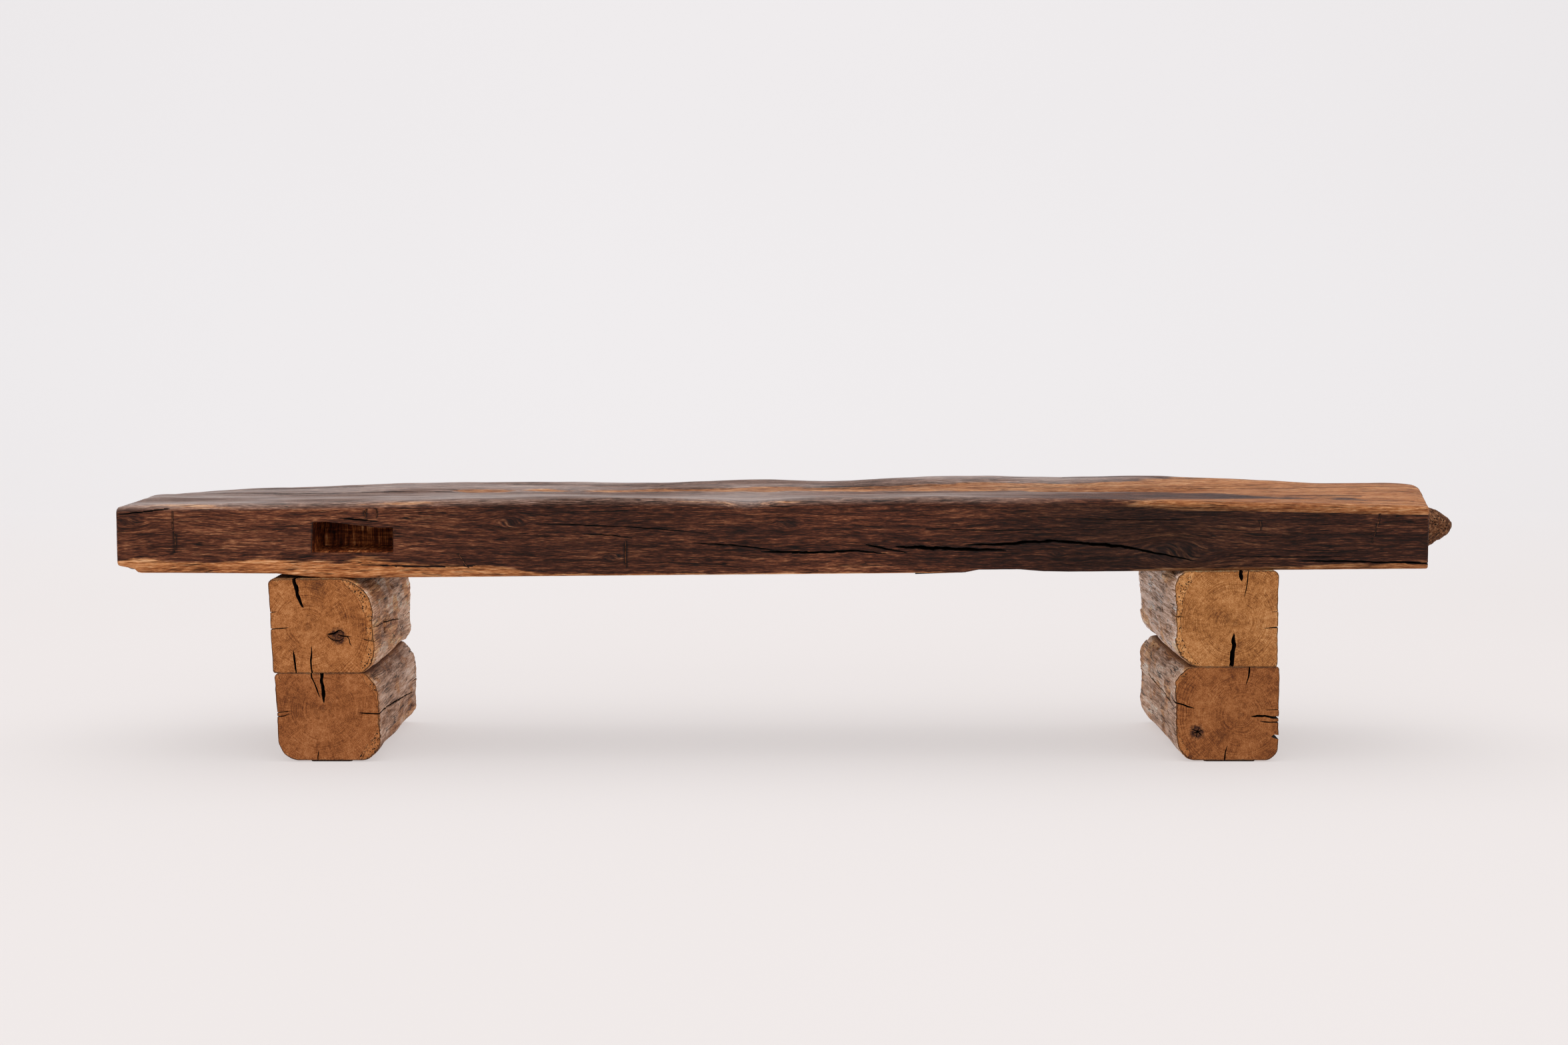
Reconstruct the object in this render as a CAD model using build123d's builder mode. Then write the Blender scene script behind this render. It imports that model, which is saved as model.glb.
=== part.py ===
from build123d import *

import os

# A backless bench of reclaimed oak. One hewn beam with a blind mortise in its front face lies on
# two legs, and each leg is a stack of two squared timber offcuts. Two threaded rods run up through
# each stack into the beam and clamp it with a washer and a nut in the lowest block. Rubber pads
# under the lowest blocks keep the timber off the floor.
#
# Millimetres. +X runs along the beam to its longer, skewed end, +Y to the back, +Z up. The origin
# is on the floor, under the middle of the whole bench.

# ---- beam -------------------------------------------------------------------------------------
beam_length = 2098  # along the front face, from end to end
beam_depth = 365
end_skew = 66  # how much further the +X end reaches at the back than at the front

# The beam's thickness above its underside at seven stations: at the front arris, along the hollow
# worn into the seat, and along the ridge behind it. The hollow runs out into a low crown at the +X
# end. A station is a share of the beam's length.
stations = [
    (0.00, 119, 112, 106),
    (0.15, 122, 116, 125),
    (0.35, 123, 117, 128),
    (0.55, 122, 116, 129),
    (0.70, 117, 114, 133),
    (0.85, 109, 113, 125),
    (1.00, 100, 117, 114),
]
hollow_setback = 225  # from the front face to the hollow
ridge_inset = 45  # from the back face to the ridge
back_drop = 14  # how far the back arris lies under the ridge
front_arris = 9  # worn radius
back_arris = 12
seat_blend = 40  # radius in the hollow and over the ridge

tenon_setback = 190  # from the front face to the middle of the broken tenon
tenon_depth = 140  # front to back, at its root
tenon_height = 74
tenon_reach = 52  # how far it stands out of the skewed end
tenon_tip_depth = 60
tenon_tip_height = 14
tenon_level = 58  # from the underside to its middle
tenon_root = 40  # how far its taper starts inside the beam

mortise_width = 129
mortise_height = 46
mortise_depth = 105
mortise_from_end = 313  # from the beam's -X end to the mortise
mortise_rise = 42  # from the underside to the mortise's sill
mortise_cover = 16  # timber between the mortise and a rod hole

relief_height = 8  # how far the underside is worn away beyond the left leg
relief_ramp = 75  # length over which that wear runs out

# ---- legs -------------------------------------------------------------------------------------
block_length = 380  # front to back
left_leg_from_end = 329  # from the beam's -X end to the middle of the left leg
right_leg_from_end = 323  # from the skewed end's front corner to the middle of the right leg
left_seat_height = 296  # floor to the beam's underside, over each leg
right_seat_height = 308
left_joint_height = 144  # floor to the joint between the two blocks of a leg
right_joint_height = 154

# Each block's width at its head, how far its foot draws in on the -X side, where its middle
# lies from the leg's middle, and its worn corner radii: foot -X, foot +X, head +X, head -X.
left_upper = (170, 6, -2, (4, 28, 58, 8))
left_lower = (168, 6, 5, (34, 30, 30, 8))
right_upper = (168, 2, -2, (46, 4, 9, 24))
right_lower = (170, 4, 1, (34, 22, 4, 30))

# ---- hardware ---------------------------------------------------------------------------------
rod_radius = 6
rod_fit = 0.1  # glued fit in the beam
rod_clearance = 1  # drilled clearance in the blocks
rod_embedment = 75  # length of rod in the beam
rod_stickout = 3  # rod showing below its nut
rod_chamfer = 1
socket_relief = 2  # space above the rod in its blind hole
thread_fit = 0.05
nut_flats = 19
nut_height = 10
nut_chamfer = 1.2
washer_radius = 12
washer_thickness = 2.5
washer_fit = 0.5
counterbore_radius = 17
counterbore_depth = 22
counterbore_web = 10  # timber between two counterbores

pad_thickness = 2.5
pad_length = 62
pad_inset = 4  # from the block's end
left_pad_width = 66
right_pad_width = 82

# ---- places that follow from these ------------------------------------------------------------
tip_reach = end_skew * tenon_setback / beam_depth + tenon_reach
overall_length = beam_length + max(tip_reach, end_skew)
left_end = -overall_length / 2
right_end = left_end + beam_length  # front corner of the skewed end
beam_front = -beam_depth / 2
beam_back = beam_depth / 2
block_front = -block_length / 2
left_leg = left_end + left_leg_from_end
right_leg = right_end - right_leg_from_end
underside_rise = (right_seat_height - left_seat_height) / (right_leg - left_leg)

rod_setback = mortise_depth + mortise_cover + rod_radius + rod_fit
rod_spread = max(beam_depth / 2 - rod_setback, counterbore_radius + counterbore_web / 2)
nut_seat = pad_thickness + counterbore_depth  # height of the counterbore's floor
rod_foot = nut_seat - washer_thickness - nut_height - rod_stickout

trim = 40  # how far the beam's sections and cuts reach past the finished faces
facing_down = (0, 0, -1)


def underside(x):
    """Height of the beam's underside at x. It is one plane, which rises from leg to leg."""
    return left_seat_height + underside_rise * (x - left_leg)


def across_beam(x):
    """Plane across the beam at x, with its own x to the back and its own y up."""
    return Plane(origin=(x, 0, 0), x_dir=(0, 1, 0), z_dir=(1, 0, 0))


def rods_of(leg):
    """Places of a leg's two rods, front and back."""
    return {"front": (leg, -rod_spread), "back": (leg, rod_spread)}


def finish(part, name):
    """Labels a finished piece and writes it to its own STEP file."""
    part.label = name
    export_step(part, f"parts/{name}.step")


# ---- beam -------------------------------------------------------------------------------------
def hewn_timber():
    """The beam before it is cut to length: lofted, and trimmed along its underside."""
    with BuildPart() as timber:
        for share, front, hollow, ridge in stations:
            x = left_end + share * (beam_length + end_skew + trim)
            base = underside(x)
            corners = [
                (beam_front, base - trim),
                (beam_front, base + front),
                (beam_front + hollow_setback, base + hollow),
                (beam_back - ridge_inset, base + ridge),
                (beam_back, base + ridge - back_drop),
                (beam_back, base - trim),
            ]
            radii = [0, front_arris, seat_blend, seat_blend, back_arris, 0]
            with BuildSketch(across_beam(x)):
                with BuildLine():
                    FilletPolyline(*corners, radius=radii, close=True)
                make_face()
        loft()
        seat_line = Plane(
            origin=(left_leg, 0, left_seat_height),
            x_dir=(1, 0, underside_rise),
            z_dir=(-underside_rise, 0, 1),
        )
        split(bisect_by=seat_line, keep=Keep.TOP)
    return timber.part


def broken_tenon():
    """The stump of a tenon on the skewed end: a rough wedge, tapered in height and depth."""
    root = right_end + tip_reach - tenon_reach - tenon_root
    level = underside(root) + tenon_level
    middle = beam_front + tenon_setback
    with BuildPart() as tenon:
        for x, depth, height in (
            (root, tenon_depth, tenon_height),
            (right_end + tip_reach, tenon_tip_depth, tenon_tip_height),
        ):
            with BuildSketch(across_beam(x)):
                with Locations((middle, level)):
                    Rectangle(depth, height)
        loft()
    return tenon.part


def seat_beam():
    """The beam with its skewed end and broken tenon, mortise, worn underside and rod holes."""
    with BuildPart() as beam:
        add(hewn_timber())
        skewed_end = Plane(
            origin=(right_end, beam_front, 0),
            x_dir=(end_skew, beam_depth, 0),
            z_dir=(beam_depth, -end_skew, 0),
        )
        split(bisect_by=skewed_end, keep=Keep.BOTTOM)
        add(broken_tenon())

        mortise_x = left_end + mortise_from_end
        sill = underside(mortise_x) + mortise_rise
        with BuildSketch(Plane.XZ.offset(-beam_front)):
            with Locations((mortise_x, sill)):
                Rectangle(mortise_width, mortise_height, align=(Align.MIN, Align.MIN))
        extrude(amount=-mortise_depth, mode=Mode.SUBTRACT)

        with BuildSketch(Plane.XZ.offset(-beam_front)):
            with BuildLine():
                Polyline(
                    (left_leg, underside(left_leg)),
                    (left_leg - relief_ramp, underside(left_leg - relief_ramp) + relief_height),
                    (left_end - trim, underside(left_end) + relief_height),
                    (left_end - trim, underside(left_end) - trim),
                    (left_leg, underside(left_leg) - trim),
                    close=True,
                )
            make_face()
        extrude(amount=-beam_depth, mode=Mode.SUBTRACT)

        for leg in (left_leg, right_leg):
            for x, y in rods_of(leg).values():
                with Locations(Plane(origin=(x, y, underside(x)), z_dir=facing_down)):
                    Hole(rod_radius + rod_fit, depth=rod_embedment + socket_relief)
    return beam.part


# ---- legs -------------------------------------------------------------------------------------
def block_outline(leg, shape, foot, head_height):
    """A block's end, drawn on the plane of the legs' front, with its head cut to head_height(x)."""
    width, draw_in, offset, radii = shape
    near = leg + offset - width / 2
    far = near + width
    corners = [
        (near + draw_in, foot),
        (far, foot),
        (far, head_height(far)),
        (near, head_height(near)),
    ]
    with BuildSketch(Plane.XZ.offset(-block_front)) as outline:
        with BuildLine():
            FilletPolyline(*corners, radius=radii, close=True)
        make_face()
    return outline.sketch


def upper_block(leg, shape, joint_height):
    """A leg's upper block, which carries the beam and is drilled through for both rods."""
    with BuildPart() as block:
        extrude(block_outline(leg, shape, joint_height, underside), amount=-block_length)
        for x, y in rods_of(leg).values():
            with Locations((x, y, joint_height)):
                Hole(rod_radius + rod_clearance)
    return block.part


def lower_block(leg, shape, joint_height):
    """A leg's lower block, drilled through for both rods and counterbored under for their nuts."""
    with BuildPart() as block:
        outline = block_outline(leg, shape, pad_thickness, lambda x: joint_height)
        extrude(outline, amount=-block_length)
        for x, y in rods_of(leg).values():
            with Locations(Plane(origin=(x, y, pad_thickness), z_dir=facing_down)):
                CounterBoreHole(rod_radius + rod_clearance, counterbore_radius, counterbore_depth)
    return block.part


# ---- hardware ---------------------------------------------------------------------------------
def threaded_rod(x, y):
    """A rod from below its nut to its glued end in the beam."""
    with BuildPart() as rod:
        with BuildSketch(Plane.XY.offset(rod_foot)):
            with Locations((x, y)):
                Circle(rod_radius)
        extrude(amount=underside(x) + rod_embedment - rod_foot)
        chamfer(rod.edges().filter_by(GeomType.CIRCLE), length=rod_chamfer)
    return rod.part


def washer(x, y):
    """A flat washer against the counterbore's floor."""
    with BuildPart() as ring:
        with BuildSketch(Plane.XY.offset(nut_seat - washer_thickness)):
            with Locations((x, y)):
                Circle(washer_radius)
                Circle(rod_radius + washer_fit, mode=Mode.SUBTRACT)
        extrude(amount=washer_thickness)
    return ring.part


def nut(x, y):
    """A hexagon nut under its washer, with the corners of both faces turned off."""
    foot = nut_seat - washer_thickness - nut_height
    corner_radius = RegularPolygon(nut_flats / 2, 6, major_radius=False, mode=Mode.PRIVATE).radius
    with BuildPart() as hexagon:
        with BuildSketch(Plane.XY.offset(foot)):
            with Locations((x, y)):
                Circle(corner_radius)
        extrude(amount=nut_height)
        chamfer(hexagon.edges().filter_by(GeomType.CIRCLE), length=nut_chamfer)
        with BuildSketch(Plane.XY.offset(foot)):
            with Locations((x, y)):
                RegularPolygon(nut_flats / 2, 6, major_radius=False)
                Circle(rod_radius + thread_fit, mode=Mode.SUBTRACT)
        extrude(amount=nut_height, mode=Mode.INTERSECT)
    return hexagon.part


def foot_pad(leg, shape, pad_width, end):
    """A rubber pad in the middle of a lower block's flat foot, near its front or back end."""
    width, draw_in, offset, radii = shape
    near = leg + offset - width / 2
    middle = (near + draw_in + radii[0] + near + width - radii[1]) / 2
    setback = block_length / 2 - pad_inset - pad_length / 2
    y = -setback if end == "front" else setback
    with BuildPart() as pad:
        with BuildSketch(Plane.XY):
            with Locations((middle, y)):
                Rectangle(pad_width, pad_length)
        extrude(amount=pad_thickness)
    return pad.part


# ---- assembly ---------------------------------------------------------------------------------
os.makedirs("parts", exist_ok=True)
finish(seat_beam(), "seat_beam")
for side, leg, upper, lower, joint_height, pad_width in (
    ("left", left_leg, left_upper, left_lower, left_joint_height, left_pad_width),
    ("right", right_leg, right_upper, right_lower, right_joint_height, right_pad_width),
):
    finish(upper_block(leg, upper, joint_height), f"{side}_upper_block")
    finish(lower_block(leg, lower, joint_height), f"{side}_lower_block")
    for end, (x, y) in rods_of(leg).items():
        finish(threaded_rod(x, y), f"{side}_{end}_rod")
        finish(washer(x, y), f"{side}_{end}_washer")
        finish(nut(x, y), f"{side}_{end}_nut")
        finish(foot_pad(leg, lower, pad_width, end), f"{side}_{end}_pad")
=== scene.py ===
import math

import bpy
import numpy as np
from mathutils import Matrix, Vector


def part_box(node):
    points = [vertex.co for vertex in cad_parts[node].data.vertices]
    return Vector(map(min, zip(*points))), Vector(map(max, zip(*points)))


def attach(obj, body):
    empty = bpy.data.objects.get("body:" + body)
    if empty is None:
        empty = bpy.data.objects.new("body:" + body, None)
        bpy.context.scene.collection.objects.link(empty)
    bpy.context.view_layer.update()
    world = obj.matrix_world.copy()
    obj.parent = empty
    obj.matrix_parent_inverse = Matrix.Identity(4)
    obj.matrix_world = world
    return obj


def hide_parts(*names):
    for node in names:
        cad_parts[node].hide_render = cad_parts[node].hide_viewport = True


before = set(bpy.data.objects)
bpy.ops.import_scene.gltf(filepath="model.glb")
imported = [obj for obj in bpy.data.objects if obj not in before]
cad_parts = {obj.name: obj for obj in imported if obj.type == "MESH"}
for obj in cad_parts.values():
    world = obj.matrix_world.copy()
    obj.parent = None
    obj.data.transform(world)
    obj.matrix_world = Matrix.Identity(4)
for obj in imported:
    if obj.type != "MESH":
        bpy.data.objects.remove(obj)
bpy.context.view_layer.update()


# ---- studio -----------------------------------------------------------------------------------
# A pale seamless sheet hangs behind the bench and runs out over the floor. It glows a little, so
# that shadows on it stay faint. A wide softbox overhead gives most of the light, and a weaker one beside the
# camera fills the fronts. The camera looks slightly down on the bench from chest height.

camera = bpy.data.objects.new("camera", bpy.data.cameras.new("camera"))
camera.data.lens = 55
camera.data.sensor_width = 36
camera.location = (-0.0252, -3.992, 0.724)
camera.rotation_euler = (math.radians(90 - 5.073), 0, 0)
bpy.context.scene.collection.objects.link(camera)
bpy.context.scene.camera = camera
bpy.context.scene.view_settings.view_transform = "Standard"


class Wire:
    """One socket in a material's nodes. Python's operators on it add Math nodes."""

    def __init__(self, tree, socket=None):
        self.tree = tree
        self.socket = socket

    def node(self, kind, inputs=(), output=0, stops=(), **settings):
        """Adds a node. Its settings and a ramp's stops come first, then its inputs' values or links."""
        made = self.tree.nodes.new("ShaderNode" + kind)
        for name, value in settings.items():
            setattr(made, name, value)
        for place, colour in stops:
            stop = made.color_ramp.elements.new(place)
            stop.color = colour
        if stops:
            made.color_ramp.elements.remove(made.color_ramp.elements[-1])
            made.color_ramp.elements.remove(made.color_ramp.elements[0])
        for name, value in dict(inputs).items():
            if isinstance(value, Wire):
                self.tree.links.new(value.socket, made.inputs[name])
            else:
                made.inputs[name].default_value = value
        return Wire(self.tree, made.outputs[output])

    def math(self, operation, *others):
        """A Math node on this wire and the others, in that order."""
        return self.node("Math", dict(enumerate((self, *others))), operation=operation)

    def __add__(self, other):
        return self.math("ADD", other)

    def __sub__(self, other):
        return self.math("SUBTRACT", other)

    def __rsub__(self, other):
        return self.node("Math", {0: other, 1: self}, operation="SUBTRACT")

    def __mul__(self, other):
        return self.math("MULTIPLY", other)

    def __truediv__(self, other):
        return self.math("DIVIDE", other)

    def __rtruediv__(self, other):
        return self.node("Math", {0: other, 1: self}, operation="DIVIDE")

    __radd__ = __add__
    __rmul__ = __mul__

    def between(self, low, high):
        """0 below low, 1 above high, and an S curve between them. It falls where low is above high."""
        if low > high:
            return 1 - self.between(high, low)
        return self.node(
            "MapRange", {0: self, 1: low, 2: high}, interpolation_type="SMOOTHSTEP"
        )

    def place(self):
        """The X, Y and Z of the Object coordinates, in metres."""
        where = self.node("TexCoord", output=3)
        return [self.node("SeparateXYZ", {0: where}, output=axis) for axis in range(3)]

    def stored(self, name):
        """A number that the mesh keeps at each of its points."""
        return self.node("Attribute", output=2, attribute_name=name)

    def noise(self, x, y, z, detail=2, roughness=0.5):
        """Smooth noise about 0.5. x, y and z are places that are already scaled."""
        where = self.node("CombineXYZ", {0: x, 1: y, 2: z})
        return self.node(
            "TexNoise", {"Vector": where, "Scale": 1, "Detail": detail, "Roughness": roughness}
        )

    def cells(self, x, y, z):
        """Distance to the nearest of the points strewn one to each unit cube."""
        where = self.node("CombineXYZ", {0: x, 1: y, 2: z})
        return self.node("TexVoronoi", {"Vector": where, "Scale": 1})

    def ramp(self, *stops, light=(1, 1, 1)):
        """A colour for each height of this wire, blended between stops of a height and a code."""
        stops = [(height, tint(code, light)) for height, code in stops]
        return self.node("ValToRGB", {0: self}, stops=stops)

    def mix(self, first, second, blend="MIX"):
        """The first colour where this wire is 0 and the second where it is 1."""
        return self.node(
            "Mix", {0: self, 6: first, 7: second}, output=2, data_type="RGBA", blend_type=blend
        )


def tint(code, light=(1, 1, 1)):
    """A colour from its six-digit code, times the light on its red, green and blue, as the linear
    values of a socket, of which none passes nine tenths."""
    parts = np.array([int(code[at : at + 2], 16) for at in (0, 2, 4)]) / 255
    linear = np.where(parts > 0.04045, ((parts + 0.055) / 1.055) ** 2.4, parts / 12.92)
    return (*np.minimum(linear * light, 0.9), 1.0)


def new_material(name):
    """A material with an empty node tree: a wire to build from, and its Principled shader."""
    material = bpy.data.materials.new(name)
    material.use_nodes = True
    tree = material.node_tree
    shader = next(node for node in tree.nodes if node.type == "BSDF_PRINCIPLED")
    return material, Wire(tree), shader


def finish_material(shader, colour, roughness, height=None, relief=0.001, **constants):
    """Links a shader's colour, roughness and bump. relief is the bump's full height in metres."""
    links = colour.tree.links
    links.new(colour.socket, shader.inputs["Base Color"])
    if isinstance(roughness, Wire):
        links.new(roughness.socket, shader.inputs["Roughness"])
    else:
        shader.inputs["Roughness"].default_value = roughness
    if height is not None:
        bump = colour.node("Bump", {"Height": height, "Distance": relief, "Strength": 1})
        links.new(bump.socket, shader.inputs["Normal"])
    for name, value in constants.items():
        shader.inputs[name.replace("_", " ")].default_value = value


def put_in_scene(name, points, faces):
    """A mesh object at the origin, with smooth faces."""
    mesh = bpy.data.meshes.new(name)
    mesh.from_pydata(points.tolist(), [], faces)
    mesh.shade_smooth()
    made = bpy.data.objects.new(name, mesh)
    bpy.context.scene.collection.objects.link(made)
    return made


def seamless_sheet():
    """A strip of sheet: a profile of floor, quarter circle and wall, carried along X."""
    bend = 1.6
    turn = np.linspace(0, math.pi / 2, 24)
    y = np.concatenate([[-40], 4.5 + bend * np.sin(turn), [4.5 + bend]])
    z = np.concatenate([[0], bend * (1 - np.cos(turn)), [9]])
    x = np.linspace(-25, 25, 12)[:, None]
    points = np.stack(np.broadcast_arrays(x, y, z), axis=-1).reshape(-1, 3)
    corner = np.arange(len(points)).reshape(len(x), len(y))
    sides = corner[:-1, :-1], corner[1:, :-1], corner[1:, 1:], corner[:-1, 1:]
    quads = np.stack(sides, axis=-1).reshape(-1, 4)
    return put_in_scene("seamless_sheet", points, quads.tolist())


def glowing_sheet():
    """Matt off-white sheet that glows evenly, a little cooler and brighter up the wall."""
    material, wire, shader = new_material("glowing_sheet")
    x, y, z = wire.place()
    cloud = wire.noise(x * 0.7, y * 0.7, z * 0.7)
    colour = cloud.mix(tint("908d8c"), tint("939090"))
    finish_material(shader, colour, 0.9, Specular_IOR_Level=0.1, Emission_Strength=1.0)
    glow = (y + z).between(0.5, 7.0).mix(tint("beb9b8"), tint("c8c7c9"))
    colour.tree.links.new(glow.socket, shader.inputs["Emission Color"])
    return material


sheet = seamless_sheet()
sheet.data.materials.append(glowing_sheet())


def softbox(name, place, aim, size, watts):
    """A rectangular area light at a place, turned to face a point."""
    lamp = bpy.data.lights.new(name, "AREA")
    lamp.shape = "RECTANGLE"
    lamp.size, lamp.size_y = size
    lamp.energy = watts
    made = bpy.data.objects.new(name, lamp)
    made.location = place
    toward = np.array(aim) - np.array(place)
    across = math.hypot(toward[0], toward[1])
    made.rotation_euler = (
        math.atan2(across, -toward[2]),
        0,
        math.atan2(toward[1], toward[0]) - math.pi / 2,
    )
    bpy.context.scene.collection.objects.link(made)


softbox("overhead_softbox", (-0.3, 0.4, 4.6), (0, 0.6, 0.2), (7.5, 6.0), 150)
softbox("fill_softbox", (0.4, -5.2, 2.6), (0, 0, 0.3), (4.5, 2.6), 60)

world = bpy.data.worlds.new("studio")
world.use_nodes = True
world.node_tree.nodes["Background"].inputs["Color"].default_value = (1, 0.985, 0.975, 1)
world.node_tree.nodes["Background"].inputs["Strength"].default_value = 0.72
bpy.context.scene.world = world


# ---- seat beam ---------------------------------------------------------------------------------
# One hewn oak timber from an old building, almost black with age and rubbed back to orange along
# its arrises and in the hollow of its top. A blind mortise is cut into its front face, the stump of
# a tenon stands out of its skewed end, and drying cracks run along it. It lies on the two legs.

beam_low, beam_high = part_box("seat_beam")
beam_length = 2.098  # along the front face
end_skew = 0.066  # how much further the +X end reaches at the back
beam_depth = beam_high.y - beam_low.y
left_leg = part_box("left_front_rod")[0].x + 0.006
right_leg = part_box("right_front_rod")[0].x + 0.006
left_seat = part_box("left_upper_block")[1].z
right_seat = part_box("right_upper_block")[1].z

# Heights of the top at places along the beam: its front arris, the hollow and the ridge behind it.
arris_line = [
    (-1.10, 0.412), (-1.05, 0.414), (-0.85, 0.4165), (-0.53, 0.4215), (-0.21, 0.423),
    (-0.13, 0.4215), (-0.085, 0.419), (-0.04, 0.4215), (0.05, 0.424), (0.21, 0.4255),
    (0.45, 0.4225), (0.61, 0.4195), (0.78, 0.4165), (0.93, 0.413), (1.09, 0.410),
]
hollow_line = [
    (-1.10, 0.4135), (-0.90, 0.4135), (-0.60, 0.4155), (-0.30, 0.415), (0.00, 0.4165),
    (0.30, 0.4185), (0.50, 0.4185), (0.65, 0.419), (0.80, 0.4235), (0.95, 0.427), (1.09, 0.428),
]
ridge_line = [
    (-1.10, 0.404), (-1.05, 0.4085), (-0.935, 0.4165), (-0.83, 0.419), (-0.69, 0.4245),
    (-0.575, 0.4265), (-0.40, 0.4275), (-0.23, 0.4265), (-0.067, 0.432), (0.07, 0.4295),
    (0.14, 0.4335), (0.31, 0.438), (0.46, 0.436), (0.55, 0.438), (0.72, 0.434),
    (0.80, 0.431), (0.88, 0.4265), (1.045, 0.424), (1.09, 0.422),
]
# How far the front of the underside is hewn or broken away above the plane of the seats.
lost_edge = [
    (-1.10, 0.017), (-1.063, 0.009), (-1.058, 0.003), (-0.90, 0.001), (-0.84, 0), (0.262, 0),
    (0.270, 0.0015), (0.285, 0.0045), (0.350, 0.0045), (0.390, 0.001), (0.430, 0), (1.09, 0),
]
hollow_at = 0.042  # Y of the hollow's lowest line
ridge_at = 0.1375
back_fall = 0.013  # from the ridge to the back arris
relief_ramp = 0.075  # the underside's worn end meets the left leg along this ramp
relief_height = 0.008


def curve(x, points):
    """A smooth line through points: cubic spans, each with its neighbours' slope at its ends."""
    at, height = np.array(points, float).T
    slope = np.gradient(height, at)
    span = np.clip(np.searchsorted(at, x) - 1, 0, len(at) - 2)
    width = at[span + 1] - at[span]
    t = np.clip((x - at[span]) / width, 0, 1)
    start = (1 + 2 * t) * (1 - t) ** 2 * height[span] + t * (1 - t) ** 2 * width * slope[span]
    end = t * t * (3 - 2 * t) * height[span + 1] + t * t * (t - 1) * width * slope[span + 1]
    return start + end


def ease(value, low=0.0, high=1.0):
    """0 at low, 1 at high, and an S curve between them."""
    t = np.clip((value - low) / (high - low), 0, 1)
    return t * t * (3 - 2 * t)


def hewn(u, v, size, seed, octaves=2):
    """Random relief from -1 to 1. A lattice of random heights stands every size along u and v,
    each cell blends its corners with S curves, and each octave adds half of it at half the size.
    Where v is one number, the relief changes along u alone."""
    total = 0
    for octave in range(octaves):
        heights = np.random.default_rng(seed + octave).uniform(-1, 1, (97, 89))
        p, q = u / size[0] * 2**octave, v / size[1] * 2**octave
        i, j = np.floor(p).astype(int), np.floor(q).astype(int)
        s, t = ease(p - i), ease(q - j)
        low = heights[i % 97, j % 89] * (1 - s) + heights[(i + 1) % 97, j % 89] * s
        high = heights[i % 97, (j + 1) % 89] * (1 - s) + heights[(i + 1) % 97, (j + 1) % 89] * s
        total = total + (low * (1 - t) + high * t) / 2**octave
    return total / (2 - 0.5 ** (octaves - 1))


def closed_skin(name, rings, first_pole, last_pole):
    """A closed surface: rings of points, each joined to the next, with a fan to a pole at each end."""
    count, around = rings.shape[:2]
    points = np.concatenate([rings.reshape(-1, 3), [first_pole, last_pole]])
    corner = np.arange(count * around).reshape(count, around)
    beside = np.roll(corner, -1, axis=1)
    sides = corner[:-1], beside[:-1], beside[1:], corner[1:]
    quads = np.stack(sides, axis=-1).reshape(-1, 4)
    pole = np.full(around, count * around)
    first_fan = np.stack([beside[0], corner[0], pole], axis=-1)
    last_fan = np.stack([corner[-1], beside[-1], pole + 1], axis=-1)
    return put_in_scene(name, points, quads.tolist() + first_fan.tolist() + last_fan.tolist())


def give(piece, name, values):
    """Stores one number for each point of a piece, for its material to read."""
    attribute = piece.data.attributes.new(name, "FLOAT", "POINT")
    attribute.data.foreach_set("value", np.asarray(values, np.float32).ravel())


def seat_plane(x):
    """Height of the plane on which the beam lies, from leg to leg."""
    return left_seat + (right_seat - left_seat) * (x - left_leg) / (right_leg - left_leg)


def underside(x, y):
    """The underside: the seat plane, worn away beyond the left leg and along its front."""
    worn = relief_height * np.clip((left_leg - x) / relief_ramp, 0, 1)
    near_front = 1 - ease(y, beam_low.y + 0.01, beam_low.y + 0.09)
    return seat_plane(x) + worn + near_front * np.interp(x, *np.array(lost_edge).T)


def bare_wood(x, y):
    """How bare the top is: the hollow's scalloped front slope, and the whole of the +X end."""
    reach = [
        (-1.1, 0), (-0.60, 0), (-0.56, 0.012), (-0.50, 0.010), (-0.475, 0.002), (-0.43, 0.014),
        (-0.375, 0.003), (-0.33, 0.012), (-0.1, 0.013), (0.1, 0.016), (0.35, 0.021),
        (0.55, 0.024), (0.68, 0.08), (0.80, 0.18), (1.1, 0.32),
    ]
    middle = 0.064 + 0.006 * hewn(x, 0, (0.11, 1), 5)
    half = np.interp(x, *np.array(reach).T) * (1 + 0.35 * hewn(x, 0, (0.05, 1), 7))
    softness = 0.010 + 0.05 * ease(x, 0.50, 0.72)
    return ease((half - np.abs(y - middle)) / softness, -0.5, 0.9)


def top_height(x, y):
    """The top: eased from the front arris down to the hollow, up to the ridge and down behind it,
    with long hewn flats, the hollow's scallops and a fine ripple."""
    arris, hollow, ridge = (curve(x, line) for line in (arris_line, hollow_line, ridge_line))
    rise = np.clip((y - hollow_at) / (ridge_at - hollow_at), 0, 1)
    height = arris + (hollow - arris) * ease(y, beam_low.y, hollow_at)
    height = height + (ridge - hollow) * (1 - (1 - rise) ** 1.8)
    height = height - back_fall * ease(y, ridge_at, beam_high.y) ** 1.3
    height = height + 0.0016 * hewn(x, y, (0.21, 0.10), 11)
    height = height + 0.0011 * np.abs(hewn(x, y, (0.075, 0.035), 12))
    height = height - 0.0028 * bare_wood(x, y) * (1 - ease(x, 0.55, 0.75))
    return height + 0.0004 * hewn(x, y, (0.06, 0.006), 13)


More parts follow.
